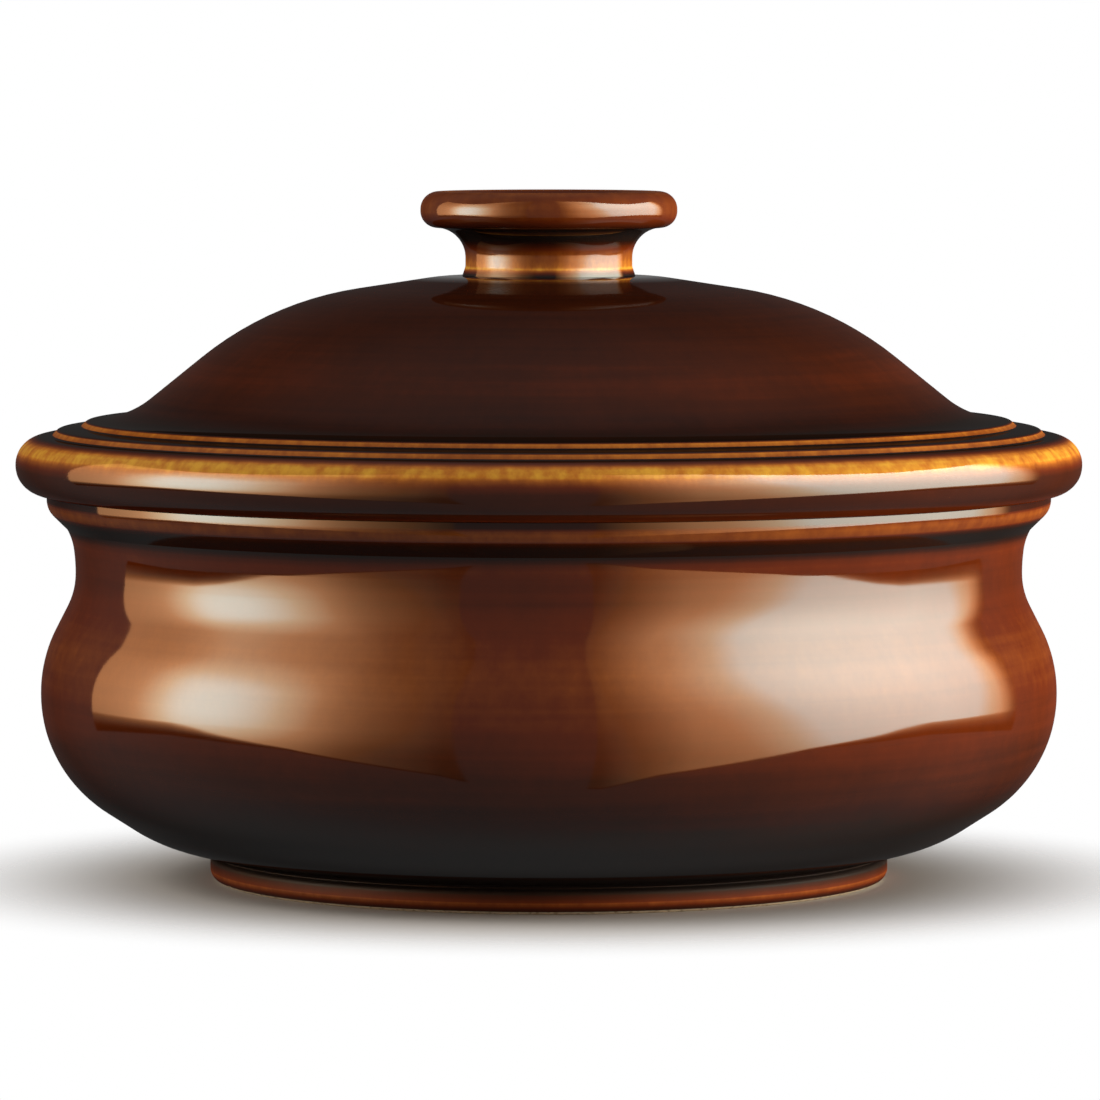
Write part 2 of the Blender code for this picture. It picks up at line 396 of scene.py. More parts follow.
@dataclass(frozen=True)
class TreacleGlaze:
    """Treacle glaze: iron-brown glass, dipped over buff stoneware and fired until it runs.

    The eye sees a wet gloss over a brown with red in it. On edges the glaze runs thin and breaks to
    amber in streaks along the flow, and in creases it pools to near black. The film that sets the
    colour also carries painted shade: it is laid darker on the dome and treads, down and under the
    belly, under the knob's grip and in the creases. Fine wear takes some of the gloss away at a
    glancing look, sooner on the dome and not at all under the knob.

    Each grain is a noise's detail and its roughness. Each gain is how far the film follows a noise.
    """

    name: str
    # Colours by film; the darkest are greyed, a painted reflection over the near-black glaze
    shades: tuple[tuple[float, str], ...] = (
        (0.0, "F2B63C"), (0.25, "D08028"), (0.5, "A45A1C"), (0.8, "7C3B12"), (1.0, "67290C"),
        (1.35, "451D0B"), (1.6, "32160C"), (1.8, "24160F"), (2.0, "1D1816"),
    )
    streak_width: float = 2.0
    streak_length: float = 2.6
    streak_girth: float = 66.0  # the radius at which streaks have that width
    streak_grain: tuple[float, float] = (3.5, 0.6)
    streak_gain: tuple[float, float] = (0.95, 0.15)  # where the film is broken, and at streak_reach
    streak_reach: float = 1.1  # the film from which streaks are faintest
    cloud_size: float = 16.0
    cloud_grain: tuple[float, float] = (4.0, 0.55)
    cloud_gain: float = 0.3
    line_spacing: float = 1.3
    lines_around: float = 1.4  # noise cells along a radius, few so that lines are long
    line_grain: tuple[float, float] = (3.0, 0.5)
    line_gain: float = 0.28
    ripple_size: float = 17.0
    ripple_depth: float = 0.018
    ripple_grain: tuple[float, float] = (2.0, 0.5)
    roughness: tuple[float, float] = (0.045, 0.085)
    roughness_span: tuple[float, float] = (0.3, 0.7)  # of the clouds' noise
    dry_height: tuple[float, float] = (3.4, 4.3)  # the foot below it has lost its gloss
    dry_roughness: float = 0.5
    dry_loss: float = 0.8
    glance: tuple[float, float] = (50.0, 78.0)  # degrees off the surface's normal
    glance_loss: float = 0.85
    sheltered: tuple[float, float] | None = None  # radii round the knob over which wear starts
    worn_dome: tuple[float, float] | None = None  # radii over which the dome's wear ends
    dome_wear: float = 0.15
    ior: float = 1.5
    pinhole_cell: float = 15.0
    pinhole_size: float = 0.22
    pinhole_share: float = 0.3
    pinhole_colour: str = "B08C6A"

    def build(self) -> Material:
        """Make the glaze.

        Returns:
            A material that reads the film and run attributes of a turned piece.
        """
        material = bpy.data.materials.new(self.name)
        add = partial(add_node, new_tree(material))
        place = add("TexCoord", out="Object")
        around = self.streak_girth / self.streak_width
        noises = []
        for at, scale, (detail, grain) in (
            (self.wrapped(add, place, around, self.streak_length), 1.0, self.streak_grain),
            (place, 1.0 / (self.cloud_size * MM), self.cloud_grain),
            (self.wrapped(add, place, self.lines_around, self.line_spacing), 1.0, self.line_grain),
            (place, 1.0 / (self.ripple_size * MM), self.ripple_grain),
        ):
            noises.append(add(
                "TexNoise",
                {"Vector": at, "Scale": scale, "Detail": detail, "Roughness": grain},
            ))
        streaks, clouds, lines, ripple = noises
        colour = self.pinholed(add, place, self.shade(add, streaks, clouds, lines))
        bump = add("Bump", {"Height": ripple, "Strength": 1.0, "Distance": self.ripple_depth * MM})
        (low, high), (smooth, rough) = self.roughness_span, self.roughness
        gloss = add(
            "MapRange",
            {"Value": clouds, "From Min": low, "From Max": high, "To Min": smooth, "To Max": rough},
        )
        height = add("SeparateXYZ", {0: place}, "Z")
        low, high = (edge * MM for edge in self.dry_height)
        foot = {"Value": height, "From Min": low, "From Max": high, "To Max": 0.0}
        driest = []
        for glazed, dry in (
            (gloss, self.dry_roughness),
            (self.wear(add, place, bump), self.dry_loss),
        ):
            at_foot = add("MapRange", {**foot, "To Min": dry})
            driest.append(add("Math", {0: glazed, 1: at_foot}, operation="MAXIMUM"))
        roughness, lost = driest
        wet = add(
            "BsdfPrincipled",
            {"Base Color": colour, "Roughness": roughness, "IOR": self.ior, "Normal": bump},
        )
        worn = add("BsdfDiffuse", {"Color": colour, "Normal": bump})
        surface = add("MixShader", {0: lost, 1: wet, 2: worn})
        add("OutputMaterial", {"Surface": surface})
        return material

    def wrapped(self, add: AddNode, place: NodeSocket, around: float, pitch: float) -> NodeSocket:
        """Lay out a place for noise that goes round the piece and down its outline.

        Args:
            add: Adds a node to the glaze.
            place: The place on the piece.
            around: Noise cells along a radius, which sets how wide they are round the piece.
            pitch: Length of a cell down the outline.

        Returns:
            The place to read the noise at.
        """
        flat = add("VectorMath", {0: place, 1: FLAT}, operation="MULTIPLY")
        spoke = add("VectorMath", {0: flat}, operation="NORMALIZE")
        ring = add("VectorMath", {0: spoke, "Scale": around}, operation="SCALE")
        run = add("Attribute", out="Fac", attribute_name="run")
        down = add("Math", {0: run, 1: 1.0 / (pitch * MM)}, operation="MULTIPLY")
        along = add("CombineXYZ", {"Z": down})
        return add("VectorMath", {0: ring, 1: along}, operation="ADD")

    def shade(
        self, add: AddNode, streaks: NodeSocket, clouds: NodeSocket, lines: NodeSocket
    ) -> NodeSocket:
        """Colour the glaze by its thickness and the painted shade laid into it, which three noises
        vary.

        Args:
            add: Adds a node to the glaze.
            streaks: The noise of runs along the flow.
            clouds: The noise of thicker and thinner glaze.
            lines: The noise of the level lines that turning leaves.

        Returns:
            The colour, from amber to near black.
        """
        film_and_shade = add("Attribute", out="Fac", attribute_name="film_and_shade")
        broken, dipped = self.streak_gain
        streak_gain = add(
            "MapRange",
            {"Value": film_and_shade, "From Max": self.streak_reach, "To Min": broken, "To Max": dipped},
        )
        for noise, gain in (
            (streaks, streak_gain), (clouds, self.cloud_gain), (lines, self.line_gain)
        ):
            swing = add("Math", {0: noise, 1: NOISE_MEAN}, operation="SUBTRACT")
            film_and_shade = add("Math", {0: swing, 1: gain, 2: film_and_shade}, operation="MULTIPLY_ADD")
        share = add("Math", {0: film_and_shade, 1: 1.0 / FilmAndShade.POOLED_AND_SHADED}, operation="MULTIPLY", use_clamp=True)
        stops = [(at / FilmAndShade.POOLED_AND_SHADED, linear(code)) for at, code in self.shades]
        return add("ValToRGB", {"Fac": share}, stops=stops)

    def pinholed(self, add: AddNode, place: NodeSocket, shade: NodeSocket) -> NodeSocket:
        """Prick the glaze with the pale pinholes of bubbles that burst in the kiln.

        Args:
            add: Adds a node to the glaze.
            place: The place on the piece.
            shade: The glaze's colour.

        Returns:
            The colour with a pinhole in some of the cells.
        """
        distance = add(
            "TexVoronoi", {"Vector": place, "Scale": 1.0 / (self.pinhole_cell * MM)}, feature="F1"
        )
        chance = add("SeparateXYZ", {0: distance.node.outputs["Color"]})
        near = self.pinhole_size / self.pinhole_cell
        inside, chosen = (
            add("Math", {0: value, 1: limit}, operation="LESS_THAN")
            for value, limit in ((distance, near), (chance, self.pinhole_share))
        )
        hole = add("Math", {0: inside, 1: chosen}, operation="MULTIPLY")
        # Its colours go by number, because sockets of other kinds have the same names
        mixed = {0: hole, 6: shade, 7: linear(self.pinhole_colour)}
        return add("Mix", mixed, 2, data_type="RGBA")

    def wear(self, add: AddNode, place: NodeSocket, bump: NodeSocket) -> NodeSocket:
        """Work out how much of the gloss wear takes away at a glancing look.

        Args:
            add: Adds a node to the glaze.
            place: The place on the piece.
            bump: The normal of the rippled glaze.

        Returns:
            The share of the gloss that is lost.
        """
        facing = add("LayerWeight", {"Normal": bump}, "Facing")
        flat = add("VectorMath", {0: place, 1: FLAT}, operation="MULTIPLY")
        radius = add("VectorMath", {0: flat}, "Value", operation="LENGTH")
        if self.worn_dome:
            inner, outer = (edge * MM for edge in self.worn_dome)
            span = {"From Min": inner, "From Max": outer, "To Min": self.dome_wear, "To Max": 0.0}
            early = add("MapRange", {"Value": radius, **span})
            facing = add("Math", {0: facing, 1: early}, operation="ADD")
        start, end = (1.0 - math.cos(math.radians(angle)) for angle in self.glance)
        lost = add(
            "MapRange",
            {"Value": facing, "From Min": start, "From Max": end, "To Max": self.glance_loss},
            interpolation_type="SMOOTHSTEP",
        )
        if self.sheltered:
            inner, outer = (edge * MM for edge in self.sheltered)
            bared = add("MapRange", {"Value": radius, "From Min": inner, "From Max": outer})
            lost = add("Math", {0: lost, 1: bared}, operation="MULTIPLY")
        return lost


@dataclass(frozen=True)
class BareStoneware:
    """Fired stoneware without glaze: the eye sees a dry buff clay with darker grit in it."""

    name: str
    clay: str = "CDBFA3"
    grit: str = "8E7B60"
    grit_size: float = 0.5
    grit_detail: float = 3.0
    grit_span: tuple[float, float] = (0.32, 0.5)  # of the grain's noise, from grit to clay
    tooth_strength: float = 0.4
    tooth_depth: float = 0.05
    roughness: float = 0.8

    def build(self) -> Material:
        """Make the clay.

        Returns:
            A material with grit in it and a dry tooth.
        """
        material = bpy.data.materials.new(self.name)
        add = partial(add_node, new_tree(material))
        place = add("TexCoord", out="Object")
        grain = add(
            "TexNoise",
            {"Vector": place, "Scale": 1.0 / (self.grit_size * MM), "Detail": self.grit_detail},
        )
        stops = list(zip(self.grit_span, (linear(self.grit), linear(self.clay))))
        colour = add("ValToRGB", {"Fac": grain}, stops=stops)
        bump = add(
            "Bump",
            {"Height": grain, "Strength": self.tooth_strength, "Distance": self.tooth_depth * MM},
        )
        shader = add(
            "BsdfPrincipled", {"Base Color": colour, "Roughness": self.roughness, "Normal": bump}
        )
        add("OutputMaterial", {"Surface": shader})
        return material


@dataclass
class TurnedPiece:
    """What the pot, the lid and the knob share: turning an outline and dressing it."""

    turning: FineTurning
    glaze: Material
    clay: Material

    def corners(self) -> list[Corner]:
        """Return the outline's corners, from the axis round to the axis."""
        raise NotImplementedError

    def film_and_shade(self) -> list[FilmAndShadeStop]:
        """Return how thick the glaze lies at points of the outline, painted shade included."""
        raise NotImplementedError

    def is_bare(self, radius: float, height: float) -> bool:
        """Tell whether the clay is bare at a point: nowhere, unless a piece says otherwise."""
        return False

    def build(self, name: str, node: str, body: str, slot: str, foot: float) -> Object:
        """Turn the piece, dress it and set it in the frame.

        Args:
            name: Name of the new piece.
            node: The solid that it stands for.
            body: The body that it moves with.
            slot: The record's material slot; not used.
            foot: Height in metres at which the outline's zero height lies.

        Returns:
            The finished piece.
        """
        lathe = Lathe(self.turning)
        corners = self.corners()
        lathe.draw(corners)
        lathe.lay_film_and_shade(corners, self.film_and_shade())
        turned = lathe.turn()
        for face in turned.faces:
            centre = face.calc_center_median()
            bare = self.is_bare(math.hypot(centre.x, centre.y) / MM, centre.z / MM)
            face.material_index = 1 if bare else 0
        bmesh.ops.translate(turned, verts=turned.verts[:], vec=(0.0, 0.0, foot))
        piece = as_object(name, turned, [self.glaze, self.clay])
        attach(piece, body)
        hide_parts(node)
        LOG.info("%s: %d faces on %s", name, len(piece.data.polygons), body)
        return piece


@dataclass
class Pot(TurnedPiece):
    """The pot: foot ring, belly, waisted neck and collar round a hollow of even wall."""

    foot_radius: float = 44.6
    foot_height: float = 3.4
    foot_width: float = 6.2
    foot_edge_round: float = 1.6
    foot_bead_round: float = 1.3
    foot_bead_drop: float = 0.3
    foot_crease: float = 1.0
    foot_inner_round: float = 1.0
    foot_recess: float = 2.4
    foot_recess_slope: float = 1.2
    underside_run: float = 8.9
    underside_rise: float = 2.3
    underside_round: float = 19.0
    flank_rise: float = 9.2
    flank_round: float = 17.9
    belly_swell: float = 4.6
    height: float = 50.7
    shoulder_rise: float = 9.0
    shoulder_round: float = 18.2
    neck_radius: float = 62.15
    neck_band: float = 3.9
    neck_low_round: float = 9.9
    neck_high_round: float = 22.0
    neck_lean: float = 0.36
    neck_lean_rise: float = 2.8
    neck_flare: float = 0.73
    neck_flare_rise: float = 1.5
    neck_flare_round: float = 8.5
    collar_out: float = 3.75
    collar_bead_rise: float = 2.6
    collar_bead_round: float = 2.8
    collar_height: float = 4.3
    crease_round: float = 0.25
    rim_edge_round: float = 0.12
    rim_glaze: float = 0.28
    mouth_edge_round: float = 1.2
    wall: float = 4.6
    floor_thickness: float = 5.2
    floor_round: float = 24.0
    bare_edge: float = 0.4

    def __post_init__(self) -> None:
        """Stack the outer corners from the foot up, and from the rim down."""
        self.crease = Vector((self.foot_radius - self.foot_crease, self.foot_height))
        self.underside = self.crease + Vector((self.underside_run, self.underside_rise))
        self.belly_low = Vector(
            (self.neck_radius + self.belly_swell, self.underside.y + self.flank_rise)
        )
        crease_radius = self.neck_radius + self.neck_lean + self.neck_flare
        self.collar_crease = Vector((crease_radius, self.height - self.collar_height))
        self.collar_bead = Vector(
            (self.neck_radius + self.collar_out, self.collar_crease.y + self.collar_bead_rise)
        )
        self.flare_foot = self.collar_crease - Vector((self.neck_flare, self.neck_flare_rise))
        self.neck_high = self.flare_foot - Vector((self.neck_lean, self.neck_lean_rise))
        self.neck_low = self.neck_high - Vector((0.0, self.neck_band))
        self.belly_high = Vector((self.belly_low.x, self.neck_low.y - self.shoulder_rise))
        self.rim_height = self.height + self.rim_glaze

    def corners(self) -> list[Corner]:
        """List the corners up the inside, over the rim, down the outside and under the foot.

        Returns:
            The outline's corners in order, from the axis round to the axis.
        """
        floor = level(self.foot_recess + self.floor_thickness)
        flank = inset_leg(self.underside, self.belly_low, self.wall)
        belly = inset_leg(self.belly_low, self.belly_high, self.wall)
        shoulder = inset_leg(self.belly_high, self.neck_low, self.wall)
        mouth = self.neck_radius - self.wall
        foot_inner = self.foot_radius - self.foot_width
        return [
            Corner(floor[1]),
            Corner(meet(floor, flank), self.floor_round),
            Corner(meet(flank, belly), self.flank_round - self.wall),
            Corner(meet(belly, shoulder), self.shoulder_round - self.wall),
            Corner(meet(shoulder, plumb(mouth)), self.neck_low_round + self.wall),
            corner(mouth, self.rim_height, self.mouth_edge_round),
            corner(self.collar_bead.x, self.rim_height, self.rim_edge_round),
            Corner(self.collar_bead, self.collar_bead_round),
            Corner(self.collar_crease, self.crease_round),
            Corner(self.flare_foot, self.neck_flare_round),
            Corner(self.neck_high, self.neck_high_round),
            Corner(self.neck_low, self.neck_low_round),
            Corner(self.belly_high, self.shoulder_round),
            Corner(self.belly_low, self.flank_round),
            Corner(self.underside, self.underside_round),
            Corner(self.crease, self.crease_round),
            corner(self.foot_radius, self.foot_height - self.foot_bead_drop, self.foot_bead_round),
            corner(self.foot_radius, 0.0, self.foot_edge_round),
            corner(foot_inner, 0.0, self.foot_inner_round),
            corner(foot_inner - self.foot_recess_slope, self.foot_recess, self.foot_inner_round),
            corner(0.0, self.foot_recess),
        ]

    def film_and_shade(self) -> list[FilmAndShadeStop]:
        """Lay the glaze amber on collar and foot, and dark in the creases and under the belly. In
        the creases the dark is pooled glaze with painted shade; down and under the belly and as the
        foot turns under it is painted shade.

        Returns:
            Radius, height and film thickness, painted shade included, at points of the outline.
        """
        rim = self.collar_bead.x
        return [
            (0.0, 7.6, FilmAndShade.DIPPED),
            (45.0, 9.0, 1.2),
            (59.0, 24.0, FilmAndShade.DIPPED),
            (57.5, 45.0, FilmAndShade.DIPPED),
            (58.2, self.rim_height, 0.8),
            (62.0, self.rim_height, 1.2),
            (rim - 0.2, self.rim_height - 0.1, FilmAndShade.HEAVY),
            (rim, 50.4, FilmAndShade.HEAVY),
            (rim, 50.1, 1.2),
            # The collar's bead is amber where the glaze breaks; under it towards the crease the
            # film darkens, pooled glaze with painted shade
            (65.8, 49.75, 0.78), (65.6, 49.35, 0.7), (65.2, 48.65, 0.78), (64.85, 48.2, 1.35),
            (64.45, 47.85, 1.9),
            (63.9, 47.3, FilmAndShade.POOLED_AND_SHADED),
            (self.collar_crease.x, self.collar_crease.y, 1.85),
            (62.95, 45.95, 1.4),
            (62.75, 45.4, 1.15),
            (62.55, 44.6, FilmAndShade.DIPPED),
            (62.3, 43.5, 1.1),
            (self.neck_radius, 41.0, 1.15),
            (63.0, 36.8, 1.02), (64.4, 33.8, 0.9), (66.2, 30.5, 0.85), (66.75, 26.5, 1.0),
            # From the widest line down and under the belly the film darkens to near black: painted
            # shade
            (66.6, 22.0, 1.15), (65.9, 19.0, 1.3), (64.6, 16.0, 1.42), (61.0, 11.0, 1.8),
            (56.0, 8.2, FilmAndShade.POOLED_AND_SHADED),
            (50.0, 5.4, FilmAndShade.POOLED_AND_SHADED),
            (self.crease.x, self.crease.y, FilmAndShade.POOLED_AND_SHADED),
            (44.2, 3.05, FilmAndShade.POOLED_AND_SHADED),
            (self.foot_radius, 2.6, 1.95),
            (self.foot_radius, 2.2, 1.7),
            (self.foot_radius, 1.85, 1.0),
            (self.foot_radius, 1.5, 0.7),
            # The foot's lower edge darkens as it turns under: painted shade
            (44.5, 1.1, 0.85), (44.3, 0.75, 1.35), (44.1, 0.5, 1.5),
            (43.6, 0.15, FilmAndShade.HEAVY),
            (20.0, self.foot_recess, FilmAndShade.DIPPED),
        ]

    def is_bare(self, radius: float, height: float) -> bool:
        """Tell whether a point lies on the flat that the pot is fired on."""
        return height < self.bare_edge


@dataclass
class Lid(TurnedPiece):
    """The lid: dome, two steps, rolled rim, seat and the flange that drops into the mouth."""

    rim_radius: float = 69.95
    rim_thickness: float = 7.5
    rim_shoulder: float = 4.7
    step_lean: float = 0.85
    step_round: float = 0.8
    step_foot_round: float = 0.6
    outer_step_rise: float = 0.9
    outer_tread: float = 2.95
    outer_tread_rise: float = 0.3
    inner_step_rise: float = 0.8
    inner_tread: float = 4.85
    dome_flare_round: float = 12.5
    dome_flank_run: float = 19.1
    dome_flank_rise: float = 15.4
    dome_shoulder_round: float = 42.5
    crown_radius: float = 13.95
    crown_rise: float = 3.5
    crown_round: float = 30.0
    wall: float = 4.6
    flange_radius: float = 56.35
    flange_thickness: float = 4.2
    flange_depth: float = 6.0
    flange_edge_round: float = 1.4
    flange_root_round: float = 0.6
    dome_inner_round: float = 6.0
    knob_foot: float = 11.35

    def __post_init__(self) -> None:
        """Stack the outer corners from the rolled rim up to the crown."""
        self.outer_foot = Vector((self.rim_radius - self.rim_shoulder, self.rim_thickness))
        self.outer_step = self.outer_foot + Vector((-self.step_lean, self.outer_step_rise))
        self.inner_foot = self.outer_step + Vector((-self.outer_tread, self.outer_tread_rise))
        self.inner_step = self.inner_foot + Vector((-self.step_lean, self.inner_step_rise))
        self.dome_foot = self.inner_step - Vector((self.inner_tread, 0.0))
        self.dome_shoulder = self.dome_foot + Vector((-self.dome_flank_run, self.dome_flank_rise))
        self.crown_edge = Vector((self.crown_radius, self.dome_shoulder.y + self.crown_rise))

    def corners(self) -> list[Corner]:
        """List the corners over the dome, round the rim, round the flange and up the inside.

        Returns:
            The outline's corners in order, from the axis round to the axis.
        """
        flank = inset_leg(self.dome_foot, self.dome_shoulder, self.wall)
        slope = inset_leg(self.dome_shoulder, self.crown_edge, self.wall)
        crown = level(self.crown_edge.y - self.wall)
        flange_inner = self.flange_radius - self.flange_thickness
        return [
            corner(0.0, self.crown_edge.y),
            Corner(self.crown_edge, self.crown_round),
            Corner(self.dome_shoulder, self.dome_shoulder_round),
            Corner(self.dome_foot, self.dome_flare_round),
            Corner(self.inner_step, self.step_round),
            Corner(self.inner_foot, self.step_foot_round),
            Corner(self.outer_step, self.step_round),
            Corner(self.outer_foot, self.step_foot_round),
            corner(self.rim_radius, self.rim_thickness, self.rim_thickness / 2.0),
            corner(self.rim_radius, 0.0, self.rim_thickness / 2.0),
            corner(self.flange_radius, 0.0, self.flange_root_round),
            corner(self.flange_radius, -self.flange_depth, self.flange_edge_round),
            corner(flange_inner, -self.flange_depth, self.flange_edge_round),
            Corner(meet(flank, plumb(flange_inner)), self.dome_inner_round),
            Corner(meet(flank, slope), self.dome_shoulder_round - self.wall),
            Corner(meet(slope, crown), self.crown_round - self.wall),
            Corner(crown[1]),
        ]

    def on_step(self, edge: Vector) -> list[FilmAndShadeStop]:
        """Lay the film over the edge of a step: a thin amber line between dark glaze, whose dark on
        the tread above is painted shade.

        Args:
            edge: The step's outer corner.

        Returns:
            Film stops from the tread above the edge down to the step's foot.
        """
        line = (
            (-0.5, 0.0, 1.9), (-0.05, 0.0, 1.7), (0.12, -0.13, 1.1), (0.26, -0.27, 0.52),
            (0.42, -0.44, 0.36), (0.56, -0.59, 0.52), (0.68, -0.72, FilmAndShade.HEAVY),
        )
        return [(edge.x + out, edge.y + up, film_and_shade) for out, up, film_and_shade in line]

    def film_and_shade(self) -> list[FilmAndShadeStop]:
        """Lay the glaze amber on both steps and over the top of the rolled rim, and dark on the
        dome. The dark of the dome and of the treads is painted shade; under the roll and at the
        steps' feet it is painted shade with thicker glaze.

        Returns:
            Radius, height and film thickness at points of the outline.
        """
        crown = self.crown_edge.y
        roll = self.rim_thickness / 2.0
        # Angles on the roll and their film: amber over the top, darker below the widest line,
        # partly painted shade
        rolled_rim = (
            (84.0, 1.8), (66.0, 1.0), (56.0, 0.3), (45.0, 0.12), (30.0, 0.15), (20.0, 0.5),
            (8.0, 1.1), (-4.0, 1.35), (-40.0, 1.45), (-65.0, 1.1), (-80.0, 0.85),
        )
        return [
            # The dome is laid darker than the pot's belly, though the glaze is the same: painted
            # shade
            (0.0, crown, 1.4),
            (self.knob_foot - 0.3, crown, FilmAndShade.POOLED_AND_SHADED),
            (self.knob_foot + 0.3, crown, FilmAndShade.POOLED_AND_SHADED),
            (self.knob_foot + 1.0, crown, 1.6),
            (26.0, 26.8, 1.5), (40.0, 21.0, 1.43), (48.0, 16.0, 1.27), (54.5, 10.8, 1.6),
            (58.0, self.inner_step.y, 1.85),
            *self.on_step(self.inner_step),
            (self.inner_foot.x, self.inner_foot.y, FilmAndShade.POOLED_AND_SHADED),
            *self.on_step(self.outer_step),
            (self.outer_foot.x, self.outer_foot.y, FilmAndShade.POOLED_AND_SHADED),
            *(on_round(self.rim_radius - roll, roll, roll, *stop) for stop in rolled_rim),
            (60.0, 0.0, FilmAndShade.DIPPED),
            (54.0, -6.0, 0.7),
            (0.0, crown - self.wall, FilmAndShade.DIPPED),
        ]

    def is_bare(self, radius: float, height: float) -> bool:
        """Tell whether a point lies on the seat, which the glaze is wiped off."""
        return self.flange_radius < radius < self.outer_foot.x and abs(height) < MERGE / MM


@dataclass
class Knob(TurnedPiece):
    """The knob: a short stem, the cove under the grip and a dished grip."""

    height: float = 10.75
    radius: float = 16.85
    grip_thickness: float = 4.65
    grip_undercut: float = 0.3
    crest_inset: float = 3.6
    crest_round: float = 1.0
    dish_depth: float = 0.9
    dish_slope: float = 4.0
    dish_round: float = 6.0
    stem_radius: float = 10.95
    stem_cove_round: float = 4.2
    stem_flare: float = 0.4
    stem_flare_rise: float = 0.9
    stem_flare_round: float = 1.0
    foot_glaze: float = 0.27

    def corners(self) -> list[Corner]:
        """List the corners over the dish and the grip, round the cove and down the stem.

        Returns:
            The outline's corners in order, from the axis round to the axis.
        """
        underside = self.height - self.grip_thickness
        crest = self.radius - self.crest_inset
        dish = self.height - self.dish_depth
        return [
            corner(0.0, dish),
            corner(crest - self.dish_slope, dish, self.dish_round),
            corner(crest, self.height, self.crest_round),
            corner(self.radius, self.height, self.grip_thickness / 2.0),
            corner(self.radius, underside, self.grip_thickness / 2.0),
            corner(self.stem_radius, underside - self.grip_undercut, self.stem_cove_round),
            corner(self.stem_radius, self.stem_flare_rise, self.stem_flare_round),
            corner(self.stem_radius + self.stem_flare, -self.foot_glaze),
            corner(0.0, -self.foot_glaze),
        ]

    def film_and_shade(self) -> list[FilmAndShadeStop]:
        """Lay the glaze thin on crest and stem, heavy under the grip, pooled at the foot. The dark
        under the grip and down the top of the stem is painted shade.

        Returns:
            Radius, height and film thickness, painted shade included, at points of the outline.
        """
        roll = self.grip_thickness / 2.0
        # Angles round the grip and their film: it darkens underneath, which is painted shade
        grip = (
            (75.0, 0.72), (50.0, 0.84), (20.0, 0.8), (-10.0, 0.8),
            (-35.0, 1.05), (-60.0, 1.4), (-82.0, 1.9),
        )
        return [
            (0.0, self.height - self.dish_depth, 1.3),
            (9.0, self.height - self.dish_depth, 1.25),
            (12.2, 10.4, 1.0),
            (self.radius - self.crest_inset, self.height, 0.5),
            *(on_round(self.radius - roll, self.height - roll, roll, *stop) for stop in grip),
            # Under the grip and down the top of the stem the film darkens: painted shade
            (12.2, 5.9, FilmAndShade.POOLED_AND_SHADED),
            (11.2, 4.8, 1.9),
            (self.stem_radius, 3.9, 1.3),
            (self.stem_radius, 3.1, 0.8),
            (self.stem_radius, 2.2, 0.55),
            (self.stem_radius, 1.2, 0.3),
            (11.1, 0.7, FilmAndShade.BROKEN),
            (11.3, 0.18, FilmAndShade.POOLED_AND_SHADED),
            (0.0, 0.0, FilmAndShade.POOLED_AND_SHADED),
        ]


class Side(Enum):
    """The side of the camera on which a lamp or a soft box stands."""

    LEFT = -1.0
    RIGHT = 1.0


class BoxRow(IntEnum):
    """The rows of points across a soft box: where its fade ends, where it is full, and its top."""

    FADED = 0
    FULL = 1
    TOP = 2


@dataclass(frozen=True)
class SoftBox:
    """A curved white panel beside the pot, bright in the middle, that the glaze mirrors.

    Bearings are degrees from the camera's side round towards the back, and heights are degrees
    above the level. Each table goes from an angle to a level of light, or to the height of an edge.
    lean turns the pattern with height, and white_levels lift the colour towards white.
    """

    side: Side
    peak: float
    bearing_levels: Table
    height_levels: Table
    lower_edge: Table
    upper_edge: Table
    first_bearing: float = 20.0
    last_bearing: float = 119.0
    distance: float = 600.0
    centre_height: float = 40.0
    lean: float = 0.06
    edge_power: float = 4.0
    white_levels: Table = ((14, 0.0), (119, 0.0))
    lower_fade: Table = ((14, 1.0), (60, 1.5), (84, 6.0), (120, 7.0))
    tints: tuple[tuple[float, str], ...] = (
        (0.02, "FFCCA2"), (0.1, "FFB074"), (0.5, "FFBA83"), (0.76, "FFDBB0"), (0.97, "FFFAE7"),
    )
    bearing_step: float = 2.0


@dataclass(frozen=True)
class SideLamp:
    """A large soft lamp beside the pot that lights colour but isn't mirrored."""

    side: Side
    watts: float
    bearing: float
    height: float
    distance: float = 1000.0
    size: float = 700.0
    colour: str = "FFF1E2"


def between(levels: Table, at: float) -> float:
    """Read a value between the steps of a table.

    Args:
        levels: Positions and values in rising order of position.
        at: The position to read.

    Returns:
        The value there, and the end values outside the table.
    """
    if at <= levels[0][0]:
        return levels[0][1]
    for (low, first), (high, second) in zip(levels, levels[1:]):
        if at <= high:
            return first + (second - first) * (at - low) / (high - low)
    return levels[-1][1]


BOX_LOWER_EDGE: Table = (
    (14, -45), (26, -34), (58, -17), (82, -7.7), (90, -6.0), (104, -5.7), (120, -5.2)
)
BOX_UPPER_EDGE: Table = ((14, 66), (45, 60), (70, 40), (85, 34.5), (120, 33))


